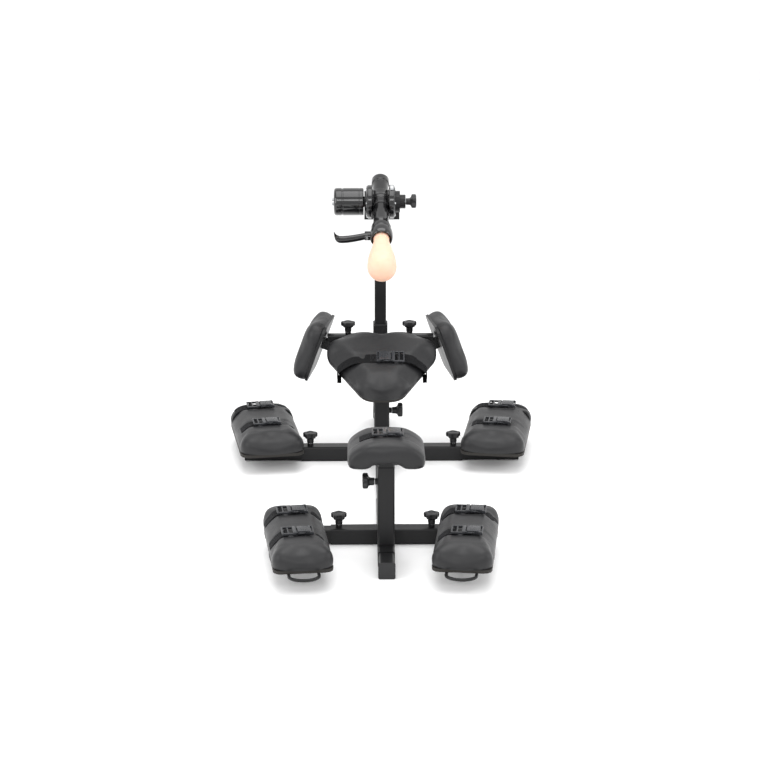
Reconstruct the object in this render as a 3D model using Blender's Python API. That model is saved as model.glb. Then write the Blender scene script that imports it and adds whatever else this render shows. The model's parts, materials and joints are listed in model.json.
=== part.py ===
"""Padded kneeling bench with a motor-driven stroke head, as separate parts on their joints.

Metres, +Z up. The front is -Y and the right side, seen from the front, is +X.
The origin lies on the floor, in the middle of the whole bench.
"""
import math

import bmesh
import bpy
from mathutils import Euler, Matrix, Vector

# ---- square tube sizes -------------------------------------------------------------
OUTER = 0.050            # sleeves and cross arms
INNER = 0.045            # tubes that slide inside the sleeves
MAST = 0.040             # mast tube
WING_TUBE = 0.030        # tube that carries the side pads
WING_SLEEVE = 0.036
WALL = 0.002
TUBE_CORNER = 0.005      # outside corner radius
GAP = 0.0003             # between pieces that touch
CAP = 0.005              # end cap thickness
HALF = OUTER / 2         # height of every floor tube's axis

# ---- places along the bench (Y) ----------------------------------------------------
BEAM_FRONT = -0.6859
BEAM_REAR = 0.8321
FRONT_ARM_Y = -0.3889
REAR_ARM_Y = 0.3891
CHEST_Y = -0.5249
MAST_Y = 0.7761
HEAD_Y = 0.6861
CARRIAGE_FRONT = -0.5999
CARRIAGE_REAR = -0.1339

# ---- heights -----------------------------------------------------------------------
CHEST_SLEEVE_TOP = 0.291
HIP_SLEEVE_TOP = 0.207
MAST_SLEEVE_TOP = 0.365
HEAD_Z = 0.820
BOARD_Z = 0.0625         # underside of the limb boards
BOARD_THICK = 0.010
PAD_THICK = 0.057        # limb cushions
PIVOT_TOP = BOARD_Z - GAP

# ---- cross arms, slides and limb pads ----------------------------------------------
FRONT_ARM_END = 0.165
REAR_ARM_END = 0.270
FRONT_KNOB_X = 0.140
REAR_KNOB_X = 0.240
FRONT_PIVOTS = {"left": -0.264, "right": 0.237}
REAR_PIVOTS = {"left": -0.383, "right": 0.383}
FRONT_PIVOT_Y = -0.5639
FRONT_PAD = (0.189, 0.437)
REAR_PAD = (0.226, 0.435)
FRONT_PAD_Y = -0.5904    # middle of the front cushions
REAR_PAD_Y = 0.4346      # middle of the rear cushions
FRONT_YAW = math.radians(6.5)
REAR_YAW = math.radians(8.6)
STRAP_WIDE = 0.048
STRAP_THICK = 0.002
STRAP_CLEAR = 0.0006     # between the webbing and what it lies on
STRAP_END = 0.052        # webbing ends under a board, from its middle line
BUCKLE = (0.092, 0.060, 0.013)
BUCKLE_LIE = STRAP_CLEAR + STRAP_THICK - 0.0005

# ---- front handles -----------------------------------------------------------------
HANDLE_HALF = 0.043
HANDLE_R = 0.005
HANDLE_REACH = 0.0324
HANDLE_ROOT = 0.060         # how far back under the board its ends reach
HANDLE_STEPS = 12

# ---- star knobs --------------------------------------------------------------------
KNOB_R = 0.024
KNOB_LOBES = 5
BOSS_R = 0.010
BOSS_HIGH = 0.008
STUD_R = 0.004
CARRIAGE_KNOB_Y = -0.4589
CHEST_KNOB_Z = 0.242
HIP_KNOB_Z = 0.172
MAST_KNOB_Z = 0.320
UP = (0, 0, 0)
TO_LEFT = (0, -math.pi / 2, 0)
TO_RIGHT = (0, math.pi / 2, 0)
TO_REAR = (-math.pi / 2, 0, 0)

# ---- chest pad ---------------------------------------------------------------------
CHEST_HALF = 0.119
CHEST_LENGTH = 0.200
CHEST_TOP = 0.390
CHEST_LOW = 0.304
CHEST_ARCH = 0.324
ARCH_HALF = 0.040
CHEST_PLATE = 0.006
CHEST_CORNERS = [(CHEST_HALF, CHEST_LOW), (CHEST_HALF, 0.350), (0.062, CHEST_TOP),
                 (-0.062, CHEST_TOP), (-CHEST_HALF, 0.350), (-CHEST_HALF, CHEST_LOW)]
CHEST_RADII = [0.018, 0.035, 0.080, 0.080, 0.035, 0.018]

# ---- hip pad and its side pads -----------------------------------------------------
HIP_CENTRE = (0, 0.3561, 0.316)
HIP_TILT = math.radians(19)
HIP_THICK = 0.062
HIP_REAR_X = 0.207
HIP_FRONT_X = 0.065
HIP_HALF_LENGTH = 0.1675
HIP_CORNER_Y = 0.100        # where the pad is widest
HIP_BOW_X = 0.090           # its rear edge bows back between these corners
HIP_BOW_Y = 0.183
HIP_RADII = [0.070, 0.055, 0.160]
HIP_BOARD = 0.012
HIP_PLATE = 0.005
HIP_ARM_Z = 0.269        # arm behind the hip post
WING_TUBE_Y = 0.5561
WING_TUBE_Z = 0.372
WING_TUBE_HALF = 0.150
WING_KNOBS = {"left": -0.112, "right": 0.096}
WINGS = {"left": -0.212, "right": 0.207}
WING_Y = 0.5381
WING_Z = 0.350
WING_TILT = math.radians(20)
WING_YAW = math.radians(8.6)
WING_SIZE = (0.216, 0.240)
WING_PAD = 0.052
WING_BOARD = 0.009

# ---- stroke head, in its own frame: the barrel runs along -Y through the tilt axis --
HEAD_TILT = math.radians(25)
HEAD = (0, HEAD_Y, HEAD_Z)
HEAD_TURN = (HEAD_TILT, 0, 0)
FLANGE_R = 0.057
HOUSING_R = 0.043
CAVITY_R = 0.039
BODY_HALF = 0.0285       # half width between the flanges
FLANGE_X = 0.0485        # outer face of both flanges
HOUSING_WALL = 0.005
BARREL_R = 0.027
BARREL_BORE = 0.022
FLARE_R = 0.034
BARREL_REAR = -0.120     # distances along the barrel, forward positive
BARREL_FRONT = 0.165
BUSH_START = 0.135
ROD_R = 0.010
CRANK_RADIUS = 0.020
CONROD_LENGTH = 0.090
WRIST = math.sqrt(CONROD_LENGTH ** 2 - CRANK_RADIUS ** 2)
COLLAR_R = 0.038
COLLAR_START = BARREL_FRONT + GAP
COLLAR_END = 0.210
FLANGE_START = 0.190     # plate on the rod that carries the attachment
FLANGE_END = 0.196
ATTACH_TIP = 0.402
ATTACH_R = 0.048
MOTOR_R = 0.047
MOTOR_START = 0.0578
MOTOR_END = 0.1590
FORK_R = 0.0365
FORK_LEFT = 0.006        # thickness of the fork's arms
FORK_RIGHT = 0.016
FORK_BOSS_END = 0.0840
KNOB_SEAT_X = FORK_BOSS_END + GAP
MAST_TOP = 0.780
LEVER_X = -0.0475
LEVER_Y = -0.1876
ROUND = 20

BLACK = (0.012, 0.012, 0.013)
FINISHES = {
    "powder_coat": (BLACK, 0.38, 0.0),
    "leather": ((0.030, 0.030, 0.032), 0.50, 0.0),
    "webbing": ((0.010, 0.010, 0.011), 0.80, 0.0),
    "knob_plastic": (BLACK, 0.45, 0.0),
    "gloss_black": (BLACK, 0.12, 0.0),
    "cap_plastic": ((0.035, 0.035, 0.037), 0.55, 0.0),
    "board": ((0.018, 0.018, 0.018), 0.70, 0.0),
    "bare_steel": ((0.55, 0.55, 0.56), 0.30, 1.0),
    "silicone": ((0.80, 0.42, 0.27), 0.42, 0.0),
}
bodies = {}


# ---- outlines ----------------------------------------------------------------------
def rounded(corners, radii, inset=0.0, steps=2):
    """Convex counter-clockwise outline with round corners, moved inwards by inset."""
    points = []
    count = len(corners)
    for index in range(count):
        here = Vector(corners[index])
        before = (here - Vector(corners[index - 1])).normalized()
        after = (Vector(corners[(index + 1) % count]) - here).normalized()
        first = Vector((before.y, -before.x))
        second = Vector((after.y, -after.x))
        radius = radii[index]
        centre = here - (first + second) * radius / (1 + first.dot(second))
        start = math.atan2(first.y, first.x)
        turn = first.angle(second)
        for step in range(steps + 1):
            angle = start + turn * step / steps
            reach = radius - inset
            points.append((centre.x + reach * math.cos(angle), centre.y + reach * math.sin(angle)))
    return points


def rectangle(width, height, radius, inset=0.0, steps=2):
    """Rounded rectangle about the origin, starting at its lower right corner."""
    x = width / 2
    y = height / 2
    corners = [(x, -y), (x, y), (-x, y), (-x, -y)]
    return rounded(corners, [radius] * 4, inset, steps)


def circle(radius, sides=ROUND):
    step = 2 * math.pi / sides
    return [(radius * math.cos(step * k), radius * math.sin(step * k)) for k in range(sides)]


# ---- solids ------------------------------------------------------------------------
def loft(rings, closed=False):
    """Closed skin through rings of equal count; closed joins the last ring to the first."""
    bm = bmesh.new()
    made = [[bm.verts.new(point) for point in ring] for ring in rings]
    pairs = list(zip(made, made[1:]))
    if closed:
        pairs.append((made[-1], made[0]))
    for low, high in pairs:
        for k in range(len(low)):
            after = (k + 1) % len(low)
            bm.faces.new((low[k], low[after], high[after], high[k]))
    if not closed:
        bm.faces.new(list(reversed(made[0])))
        bm.faces.new(made[-1])
    bmesh.ops.recalc_face_normals(bm, faces=bm.faces)
    return bm


def at_height(outline, z):
    return [(x, y, z) for x, y in outline]


def prism(outline, low, high):
    return loft([at_height(outline, low), at_height(outline, high)])


def pipe(outline, hole, low, high):
    """Prism with a hole of the same point count right through it."""
    rings = [at_height(outline, low), at_height(outline, high), at_height(hole, high), at_height(hole, low)]
    return loft(rings, closed=True)


def square_tube(side, low, high):
    """Hollow square tube along Z."""
    outer = rectangle(side, side, TUBE_CORNER)
    hole = rectangle(side, side, TUBE_CORNER, inset=WALL)
    return pipe(outer, hole, low, high)


def turned(profile, sides=ROUND):
    """Solid of revolution about Z from (radius, height) points, bottom to top."""
    return loft([at_height(circle(radius, sides), height) for radius, height in profile])


def turned_ring(profile, sides=ROUND):
    """Hollow solid of revolution about Z: the profile is a closed loop off the axis."""
    return loft([at_height(circle(radius, sides), height) for radius, height in profile], closed=True)


def box(low, high):
    outline = [(low[0], low[1]), (high[0], low[1]), (high[0], high[1]), (low[0], high[1])]
    return prism(outline, low[2], high[2])


def sweep(path, radius, sides=10):
    """Round bar along a flat path in the XY plane."""
    rings = []
    for index, point in enumerate(path):
        before = path[max(index - 1, 0)]
        after = path[min(index + 1, len(path) - 1)]
        along = Vector((after[0] - before[0], after[1] - before[1])).normalized()
        side = Vector((-along.y, along.x))
        ring = [(point[0] + side.x * x, point[1] + side.y * x, y) for x, y in circle(radius, sides)]
        rings.append(ring)
    return loft(rings)


def moved(bm, place=(0, 0, 0), turn=(0, 0, 0)):
    bm.transform(Matrix.Translation(place) @ Euler(turn).to_matrix().to_4x4())
    return bm


def along_x(bm, place=(0, 0, 0)):
    """Turns a solid made along Z so that it runs along +X."""
    return moved(bm, place, (0, math.pi / 2, 0))


def along_y(bm, place=(0, 0, 0)):
    """Turns a solid made along Z so that it runs along -Y."""
    return moved(bm, place, (math.pi / 2, 0, 0))


def boolean(first, second, operation):
    """Exact union or difference of two closed solids."""
    operands = []
    for bm in (first, second):
        mesh = bpy.data.meshes.new("operand")
        bm.to_mesh(mesh)
        bm.free()
        operand = bpy.data.objects.new("operand", mesh)
        bpy.context.scene.collection.objects.link(operand)
        operands.append(operand)
    modifier = operands[0].modifiers.new("boolean", "BOOLEAN")
    modifier.operation = operation
    modifier.solver = "EXACT"
    modifier.object = operands[1]
    graph = bpy.context.evaluated_depsgraph_get()
    result = bmesh.new()
    result.from_object(operands[0], graph)
    for operand in operands:
        bpy.data.objects.remove(operand)
    return result


def union(first, *others):
    for other in others:
        first = boolean(first, other, "UNION")
    return first


def cut(first, *others):
    for other in others:
        first = boolean(first, other, "DIFFERENCE")
    return first


# ---- the tree of bodies ------------------------------------------------------------
def add_body(name, parent, point):
    """An empty on the joint's axis that carries a body's pieces."""
    empty = bpy.data.objects.new(name + "_joint", None)
    bpy.context.scene.collection.objects.link(empty)
    place = Vector(point)
    if parent:
        holder, holder_place = bodies[parent]
        empty.parent = holder
        empty.location = place - holder_place
    else:
        empty.location = place
    bodies[name] = (empty, place)


def finish(name):
    material = bpy.data.materials.get(name)
    if material is None:
        colour, roughness, metallic = FINISHES[name]
        material = bpy.data.materials.new(name)
        material.use_nodes = True
        shader = material.node_tree.nodes["Principled BSDF"]
        shader.inputs["Base Color"].default_value = (*colour, 1)
        shader.inputs["Roughness"].default_value = roughness
        shader.inputs["Metallic"].default_value = metallic
    return material


def piece(name, bm, body, material, at=(0, 0, 0), turn=(0, 0, 0)):
    """One named part of a body; its mesh is in the frame that at and turn give."""
    mesh = bpy.data.meshes.new(name)
    bm.to_mesh(mesh)
    bm.free()
    mesh.shade_smooth()
    mesh.set_sharp_from_angle(angle=math.radians(35))
    mesh.materials.append(finish(material))
    part = bpy.data.objects.new(name, mesh)
    bpy.context.scene.collection.objects.link(part)
    empty, place = bodies[body]
    part.parent = empty
    part.location = Vector(at) - place
    part.rotation_euler = turn


# ---- repeated pieces ---------------------------------------------------------------


def star(radius, depth):
    """Outline of a knob head with round lobes."""
    sides = KNOB_LOBES * 4
    step = 2 * math.pi / sides
    points = []
    for k in range(sides):
        reach = radius * (1 - depth + depth * math.cos(KNOB_LOBES * step * k))
        points.append((reach * math.cos(step * k), reach * math.sin(step * k)))
    return points


def star_knob(stud):
    """Knob along +Z over a boss top at z = 0, with its stud reaching down by stud."""
    layers = [(STUD_R, 0, -stud), (STUD_R, 0, 0.006), (0.009, 0, 0.0065), (0.010, 0, 0.020)]
    layers += [(KNOB_R, 0.10, 0.023), (KNOB_R, 0.10, 0.033), (KNOB_R * 0.85, 0.08, 0.0355)]
    return loft([at_height(star(radius, depth), z) for radius, depth, z in layers])


def knob_seat(tube, point, turn):
    """Weld boss with its threaded hole on a tube wall; turn takes +Z to the knob's axis."""
    boss = moved(turned([(BOSS_R, -WALL / 2), (BOSS_R, BOSS_HIGH)], 10), point, turn)
    hole = moved(turned([(STUD_R + 0.0004, -0.006), (STUD_R + 0.0004, 0.02)], 10), point, turn)
    return cut(union(tube, boss), hole)


def knob(name, body, point, turn, wall=WALL, clear=GAP):
    """Knob on its own hinge over a boss; its stud stops just short of the inner tube."""
    axis = Euler(turn).to_matrix() @ Vector((0, 0, 1))
    seat = Vector(point) + axis * (BOSS_HIGH + GAP)
    add_body(name, body, seat)
    piece(name, star_knob(BOSS_HIGH + wall + clear), name, "knob_plastic", seat, turn)


def cushion(outline, thick, edge):
    """Cushion whose top edge is round; outline(inset) gives its plan."""
    layers = [(edge * 0.3, 0), (0, edge * 0.4), (0, thick - edge)]
    layers += [(edge * 0.32, thick - edge * 0.36), (edge, thick)]
    return loft([at_height(outline(inset), z) for inset, z in layers])


def webbing_section(corners, radii, end_x, low):
    """C-shaped section, in X and Z, of webbing over the top and round both sides of a pad."""
    paths = []
    for offset in (STRAP_CLEAR, STRAP_CLEAR + STRAP_THICK):
        path = [(end_x, low - offset)] + rounded(corners, radii, -offset) + [(-end_x, low - offset)]
        paths.append(path)
    return paths[1] + list(reversed(paths[0]))


def webbing(front, rear, front_y, rear_y):
    """Webbing between two C sections."""
    rings = [[(x, y, z) for x, z in section] for section, y in ((front, front_y), (rear, rear_y))]
    return loft(rings)


def buckle(x, y, z):
    """Side-release buckle lying across a strap."""
    length, width, thick = BUCKLE
    layers = [(0.002, 0), (0, 0.003), (0, thick - 0.004), (0.004, thick)]
    rings = [at_height(rectangle(length, width, 0.012, inset), height) for inset, height in layers]
    return moved(loft(rings), (x, y, z))


# ---- base --------------------------------------------------------------------------
def base():
    """Floor beam, rear cross arms and the two sleeves that stand on the beam."""
    add_body("base", None, (0, 0, 0))
    beam = along_y(square_tube(INNER, -BEAM_REAR, -BEAM_FRONT), (0, 0, HALF))
    arms = cross_arms(INNER / 2 - WALL / 2, REAR_ARM_END, REAR_KNOB_X, REAR_ARM_Y)
    piece("main_frame", union(beam, *arms), "base", "powder_coat")
    ends = (("beam_cap_front", BEAM_FRONT, GAP, CAP), ("beam_cap_rear", BEAM_REAR, -CAP, -GAP))
    for name, y, low, high in ends:
        cap = prism(rectangle(OUTER, OUTER, TUBE_CORNER), low, high)
        piece(name, along_y(cap, (0, y, HALF)), "base", "cap_plastic")

    sleeve = moved(square_tube(OUTER, OUTER + GAP, HIP_SLEEVE_TOP), (0, REAR_ARM_Y, 0))
    sleeve = knob_seat(sleeve, (HALF, REAR_ARM_Y, HIP_KNOB_Z), TO_RIGHT)
    piece("hip_post_sleeve", sleeve, "base", "powder_coat")
    beam_top = HALF + INNER / 2
    sleeve = moved(square_tube(OUTER, beam_top + GAP, MAST_SLEEVE_TOP), (0, MAST_Y, 0))
    sleeve = knob_seat(sleeve, (0, MAST_Y + HALF, MAST_KNOB_Z), TO_REAR)
    piece("mast_sleeve", sleeve, "base", "powder_coat")
    mast_bush()


def cross_arms(inside, outside, knob_x, y):
    """Two square tubes, one on each side of the beam, with a knob boss on top of each."""
    arms = []
    for side in (-1, 1):
        low, high = sorted((side * inside, side * outside))
        arm = along_x(square_tube(OUTER, low, high), (0, y, HALF))
        arms.append(knob_seat(arm, (side * knob_x, y, OUTER), UP))
    return arms


def mast_bush():
    """Plastic guide between the mast and its sleeve, with a rim on the sleeve's top."""
    fit = 0.0004
    rim = 0.006
    hole = rectangle(MAST + 2 * fit, MAST + 2 * fit, TUBE_CORNER)
    body = rectangle(OUTER - 2 * (WALL + fit), OUTER - 2 * (WALL + fit), TUBE_CORNER - WALL)
    head = rectangle(OUTER, OUTER, TUBE_CORNER)
    low = MAST_SLEEVE_TOP - 0.035
    top = MAST_SLEEVE_TOP + GAP
    rings = [at_height(hole, low), at_height(body, low), at_height(body, top), at_height(head, top)]
    rings += [at_height(head, top + rim), at_height(hole, top + rim)]
    piece("mast_bush", moved(loft(rings, closed=True), (0, MAST_Y, 0)), "base", "cap_plastic")


# ---- front carriage ----------------------------------------------------------------
def carriage():
    """Sleeve that slides along the beam, with the front cross arms and the chest sleeve."""
    add_body("carriage", "base", (0, FRONT_ARM_Y, HALF))
    sleeve = along_y(square_tube(OUTER, -CARRIAGE_REAR, -CARRIAGE_FRONT), (0, 0, HALF))
    sleeve = knob_seat(sleeve, (0, CARRIAGE_KNOB_Y, OUTER), UP)
    arms = cross_arms(HALF - WALL / 2, FRONT_ARM_END, FRONT_KNOB_X, FRONT_ARM_Y)
    piece("carriage_frame", union(sleeve, *arms), "carriage", "powder_coat")
    sleeve = moved(square_tube(OUTER, OUTER + GAP, CHEST_SLEEVE_TOP), (0, CHEST_Y, 0))
    sleeve = knob_seat(sleeve, (-HALF, CHEST_Y, CHEST_KNOB_Z), TO_LEFT)
    piece("chest_post_sleeve", sleeve, "carriage", "powder_coat")
    knob("carriage_knob", "carriage", (0, CARRIAGE_KNOB_Y, OUTER), UP)
    knob("chest_knob", "carriage", (-HALF, CHEST_Y, CHEST_KNOB_Z), TO_LEFT)


# ---- chest rest --------------------------------------------------------------------


def chest_rest():
    """Post with its plate, the arched cushion and one strap with its buckle."""
    add_body("chest_post", "carriage", (0, CHEST_Y, CHEST_SLEEVE_TOP))
    plate_low = CHEST_ARCH - GAP - CHEST_PLATE
    tube = moved(square_tube(INNER, 0.100, plate_low + CHEST_PLATE / 2), (0, CHEST_Y, 0))
    plate = prism(rectangle(2 * ARCH_HALF - 0.006, 0.150, 0.008), plate_low, plate_low + CHEST_PLATE)
    piece("chest_post", union(tube, moved(plate, (0, CHEST_Y, 0))), "chest_post", "powder_coat")

    half = CHEST_LENGTH / 2
    stations = [(0.014, -half), (0.004, -half + 0.007), (0, -half + 0.020)]
    stations += [(inset, -y) for inset, y in reversed(stations)]
    rings = [[(x, y, z) for x, z in rounded(CHEST_CORNERS, CHEST_RADII, inset)] for inset, y in stations]
    arch = [(-ARCH_HALF, CHEST_ARCH), (-ARCH_HALF - 0.02, CHEST_LOW - 0.01),
            (ARCH_HALF + 0.02, CHEST_LOW - 0.01), (ARCH_HALF, CHEST_ARCH)]
    tunnel = loft([[(x, y, z) for x, z in arch] for y in (-half - 0.01, half + 0.01)])
    piece("chest_pad", cut(loft(rings), tunnel), "chest_post", "leather", (0, CHEST_Y, 0))

    section = webbing_section(CHEST_CORNERS, CHEST_RADII, 0.078, CHEST_LOW)
    strap = webbing(section, section, -STRAP_WIDE / 2, STRAP_WIDE / 2)
    strap = union(strap, buckle(0.004, 0, CHEST_TOP + BUCKLE_LIE))
    piece("chest_strap", strap, "chest_post", "webbing", (0, CHEST_Y, 0))


# ---- hip rest ----------------------------------------------------------------------
def hip_outline(inset):
    """Rounded triangle with its blunt point to the front."""
    side = [(HIP_FRONT_X, -HIP_HALF_LENGTH), (HIP_REAR_X, HIP_CORNER_Y), (HIP_BOW_X, HIP_BOW_Y)]
    corners = side + [(-x, y) for x, y in reversed(side)]
    return rounded(corners, HIP_RADII + list(reversed(HIP_RADII)), inset, 4)


def hip_width(y):
    """Half width of the hip pad at a place on its slanting sides."""
    share = (y + HIP_HALF_LENGTH) / (HIP_CORNER_Y + HIP_HALF_LENGTH)
    return HIP_FRONT_X + share * (HIP_REAR_X - HIP_FRONT_X)


def hip_rest():
    """Post with its tilted plate and rear arm, the hip cushion and its strap."""
    add_body("hip_post", "base", (0, REAR_ARM_Y, HIP_SLEEVE_TOP))
    plate_top = -HIP_BOARD - 2 * GAP
    plate = prism(rectangle(0.110, 0.130, 0.010), plate_top - HIP_PLATE, plate_top)
    plate = moved(moved(plate, (0, 0.020, 0)), HIP_CENTRE, (HIP_TILT, 0, 0))
    post = moved(square_tube(INNER, 0.090, 0.3045), (0, REAR_ARM_Y, 0))
    arm = square_tube(WING_TUBE, -WING_TUBE_Y - WING_TUBE / 2, -REAR_ARM_Y - INNER / 2 + WALL / 2)
    arm = along_y(arm, (0, 0, HIP_ARM_Z))
    riser_top = WING_TUBE_Z - WING_TUBE / 2 + WALL / 2
    riser = prism(rectangle(WING_TUBE - WALL, 0.012, 0.002), HIP_ARM_Z, riser_top)
    riser = moved(riser, (0, WING_TUBE_Y, 0))
    tube = along_x(square_tube(WING_TUBE, -WING_TUBE_HALF, WING_TUBE_HALF), (0, WING_TUBE_Y, WING_TUBE_Z))
    piece("hip_post", union(post, plate, arm, riser, tube), "hip_post", "powder_coat")

    tilt = (HIP_TILT, 0, 0)
    board = prism(hip_outline(0.012), -HIP_BOARD - GAP, -GAP)
    piece("hip_board", board, "hip_post", "board", HIP_CENTRE, tilt)
    piece("hip_pad", cushion(hip_outline, HIP_THICK, 0.022), "hip_post", "leather", HIP_CENTRE, tilt)
    sections = []
    places = (-0.021 - STRAP_WIDE / 2, -0.021 + STRAP_WIDE / 2)
    for y in places:
        half = hip_width(y) + 0.004
        corners = [(half, 0), (half, HIP_THICK), (-half, HIP_THICK), (-half, 0)]
        sections.append(webbing_section(corners, [0.006, 0.022, 0.022, 0.006], half - 0.012, 0))
    strap = webbing(sections[0], sections[1], *places)
    strap = union(strap, buckle(0.028, -0.021, HIP_THICK + BUCKLE_LIE))
    piece("hip_strap", strap, "hip_post", "webbing", HIP_CENTRE, tilt)


def wing(side):
    """Side pad on a sleeve that slides along the cross tube."""
    sign = -1 if side == "left" else 1
    body = "wing_" + side
    add_body(body, "hip_post", (WING_KNOBS[side], WING_TUBE_Y, WING_TUBE_Z))
    centre = (WINGS[side], WING_Y, WING_Z)
    tilt = Euler((0, sign * (math.pi / 2 - WING_TILT), 0)).to_matrix()
    turn = (Euler((0, 0, sign * WING_YAW)).to_matrix() @ tilt).to_euler()

    knob_x = WING_KNOBS[side]
    ends = sorted((knob_x - sign * 0.020, WINGS[side] - sign * 0.030))
    sleeve = along_x(square_tube(WING_SLEEVE, *ends), (0, WING_TUBE_Y, WING_TUBE_Z))
    sleeve = knob_seat(sleeve, (knob_x, WING_TUBE_Y, WING_TUBE_Z + WING_SLEEVE / 2), UP)
    board = prism(rectangle(WING_SIZE[0], WING_SIZE[1], 0.040, 0.008, 3), -WING_BOARD, 0)
    board = moved(board, centre, turn)
    block = moved(box((-0.016, -0.016, -0.034), (0.016, 0.016, -0.004)), (-sign * 0.015, 0.0185, 0))
    piece("wing_arm_" + side, union(sleeve, board, moved(block, centre, turn)), body, "powder_coat")

    pad = cushion(lambda inset: rectangle(WING_SIZE[0], WING_SIZE[1], 0.045, inset, 3), WING_PAD, 0.018)
    piece("wing_pad_" + side, moved(pad, (0, 0, GAP)), body, "leather", centre, turn)
    knob("wing_knob_" + side, body, (knob_x, WING_TUBE_Y, WING_TUBE_Z + WING_SLEEVE / 2), UP)


# ---- limb pads ---------------------------------------------------------------------
def limb_slide(place, side, pivot_x, pivot_y, arm_y, reach_in, reach_out):
    """Inner tube in a cross arm, with the pivot that the pad swivels on."""
    sign = -1 if side == "left" else 1
    name = place + "_slide_" + side
    add_body(name, "carriage" if place == "front" else "base", (pivot_x, arm_y, HALF))
    ends = sorted((pivot_x - sign * reach_in, pivot_x + sign * reach_out))
    slide = along_x(square_tube(INNER, *ends), (0, arm_y, HALF))
    top = HALF + INNER / 2
    foot = top - WALL / 2
    if pivot_y != arm_y:
        bar = box((pivot_x - 0.020, pivot_y - 0.045, foot), (pivot_x + 0.020, arm_y + 0.018, top + 0.007))
        slide = union(slide, bar)
        foot = top + 0.005
    boss = moved(turned([(0.020, foot), (0.020, PIVOT_TOP)], 16), (pivot_x, pivot_y, 0))
    piece(name, union(slide, boss), name, "powder_coat")


def limb_pad(place, side, pivot, size, middle_y, yaw, corners, straps):
    """Board, cushion and two straps with buckles, swivelling over the slide."""
    sign = -1 if side == "left" else 1
    body = place + "_pad_" + side
    add_body(body, place + "_slide_" + side, (pivot[0], pivot[1], BOARD_Z))
    turn = (0, 0, sign * -yaw)
    along = middle_y - pivot[1]
    at = (pivot[0] + sign * along * math.tan(yaw), middle_y, BOARD_Z)
    width, length = size

    def plan(inset):
        x = width / 2
        y = length / 2
        front, rear = corners
        points = [(x, -y), (x, y), (-x, y), (-x, -y)]
        return rounded(points, [front, rear, rear, front], inset, 3)

    board = prism(plan(0.008), 0, BOARD_THICK)
    piece(place + "_board_" + side, board, body, "board", at, turn)
    seat = BOARD_THICK + GAP
    pad = moved(cushion(plan, PAD_THICK, 0.022), (0, 0, seat))
    piece(place + "_cushion_" + side, pad, body, "leather", at, turn)

    half = width / 2
    top = seat + PAD_THICK
    section = webbing_section([(half, 0), (half, top), (-half, top), (-half, 0)],
                              [0.008, 0.022, 0.022, 0.008], STRAP_END, 0)
    bands = []
    for y in straps:
        bands.append(webbing(section, section, y - STRAP_WIDE / 2, y + STRAP_WIDE / 2))
        bands.append(buckle(sign * 0.006, y, top + BUCKLE_LIE))
    tie = box((STRAP_END - 0.006, straps[0], -STRAP_CLEAR - 0.0017),
              (STRAP_END + 0.008, straps[1], -STRAP_CLEAR - 0.0003))
    piece(place + "_straps_" + side, union(tie, *bands), body, "webbing", at, turn)
    if place == "front":
        handle(side, body, at, turn, length / 2)


def handle(side, body, at, turn, front):
    """Bent bar under the front of a board, open as a finger loop."""
    path = [(-HANDLE_HALF, HANDLE_ROOT - front)]
    for step in range(HANDLE_STEPS + 1):
        angle = math.pi * (1 + step / HANDLE_STEPS)
        path.append((HANDLE_HALF * math.cos(angle), -front + HANDLE_REACH * math.sin(angle)))
    path.append((HANDLE_HALF, HANDLE_ROOT - front))
    bar = moved(sweep(path, HANDLE_R), (0, 0, -HANDLE_R - GAP))
    piece("handle_" + side, bar, body, "powder_coat", at, turn)


def limbs():
    for side in ("left", "right"):
        sign = -1 if side == "left" else 1
        x = FRONT_PIVOTS[side]
        limb_slide("front", side, x, FRONT_PIVOT_Y, FRONT_ARM_Y, 0.205, 0.075)
        limb_pad("front", side, (x, FRONT_PIVOT_Y), FRONT_PAD, FRONT_PAD_Y, FRONT_YAW, (0.032, 0.055),
                 (-0.073, 0.105))
        knob("front_knob_" + side, "carriage", (sign * FRONT_KNOB_X, FRONT_ARM_Y, OUTER), UP)
        x = REAR_PIVOTS[side]
        limb_slide("rear", side, x, REAR_ARM_Y, REAR_ARM_Y, 0.250, 0.077)
        limb_pad("rear", side, (x, REAR_ARM_Y), REAR_PAD, REAR_PAD_Y, REAR_YAW, (0.040, 0.085),
                 (-0.067, 0.122))
        knob("rear_knob_" + side, "base", (sign * REAR_KNOB_X, REAR_ARM_Y, OUTER), UP)


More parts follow.
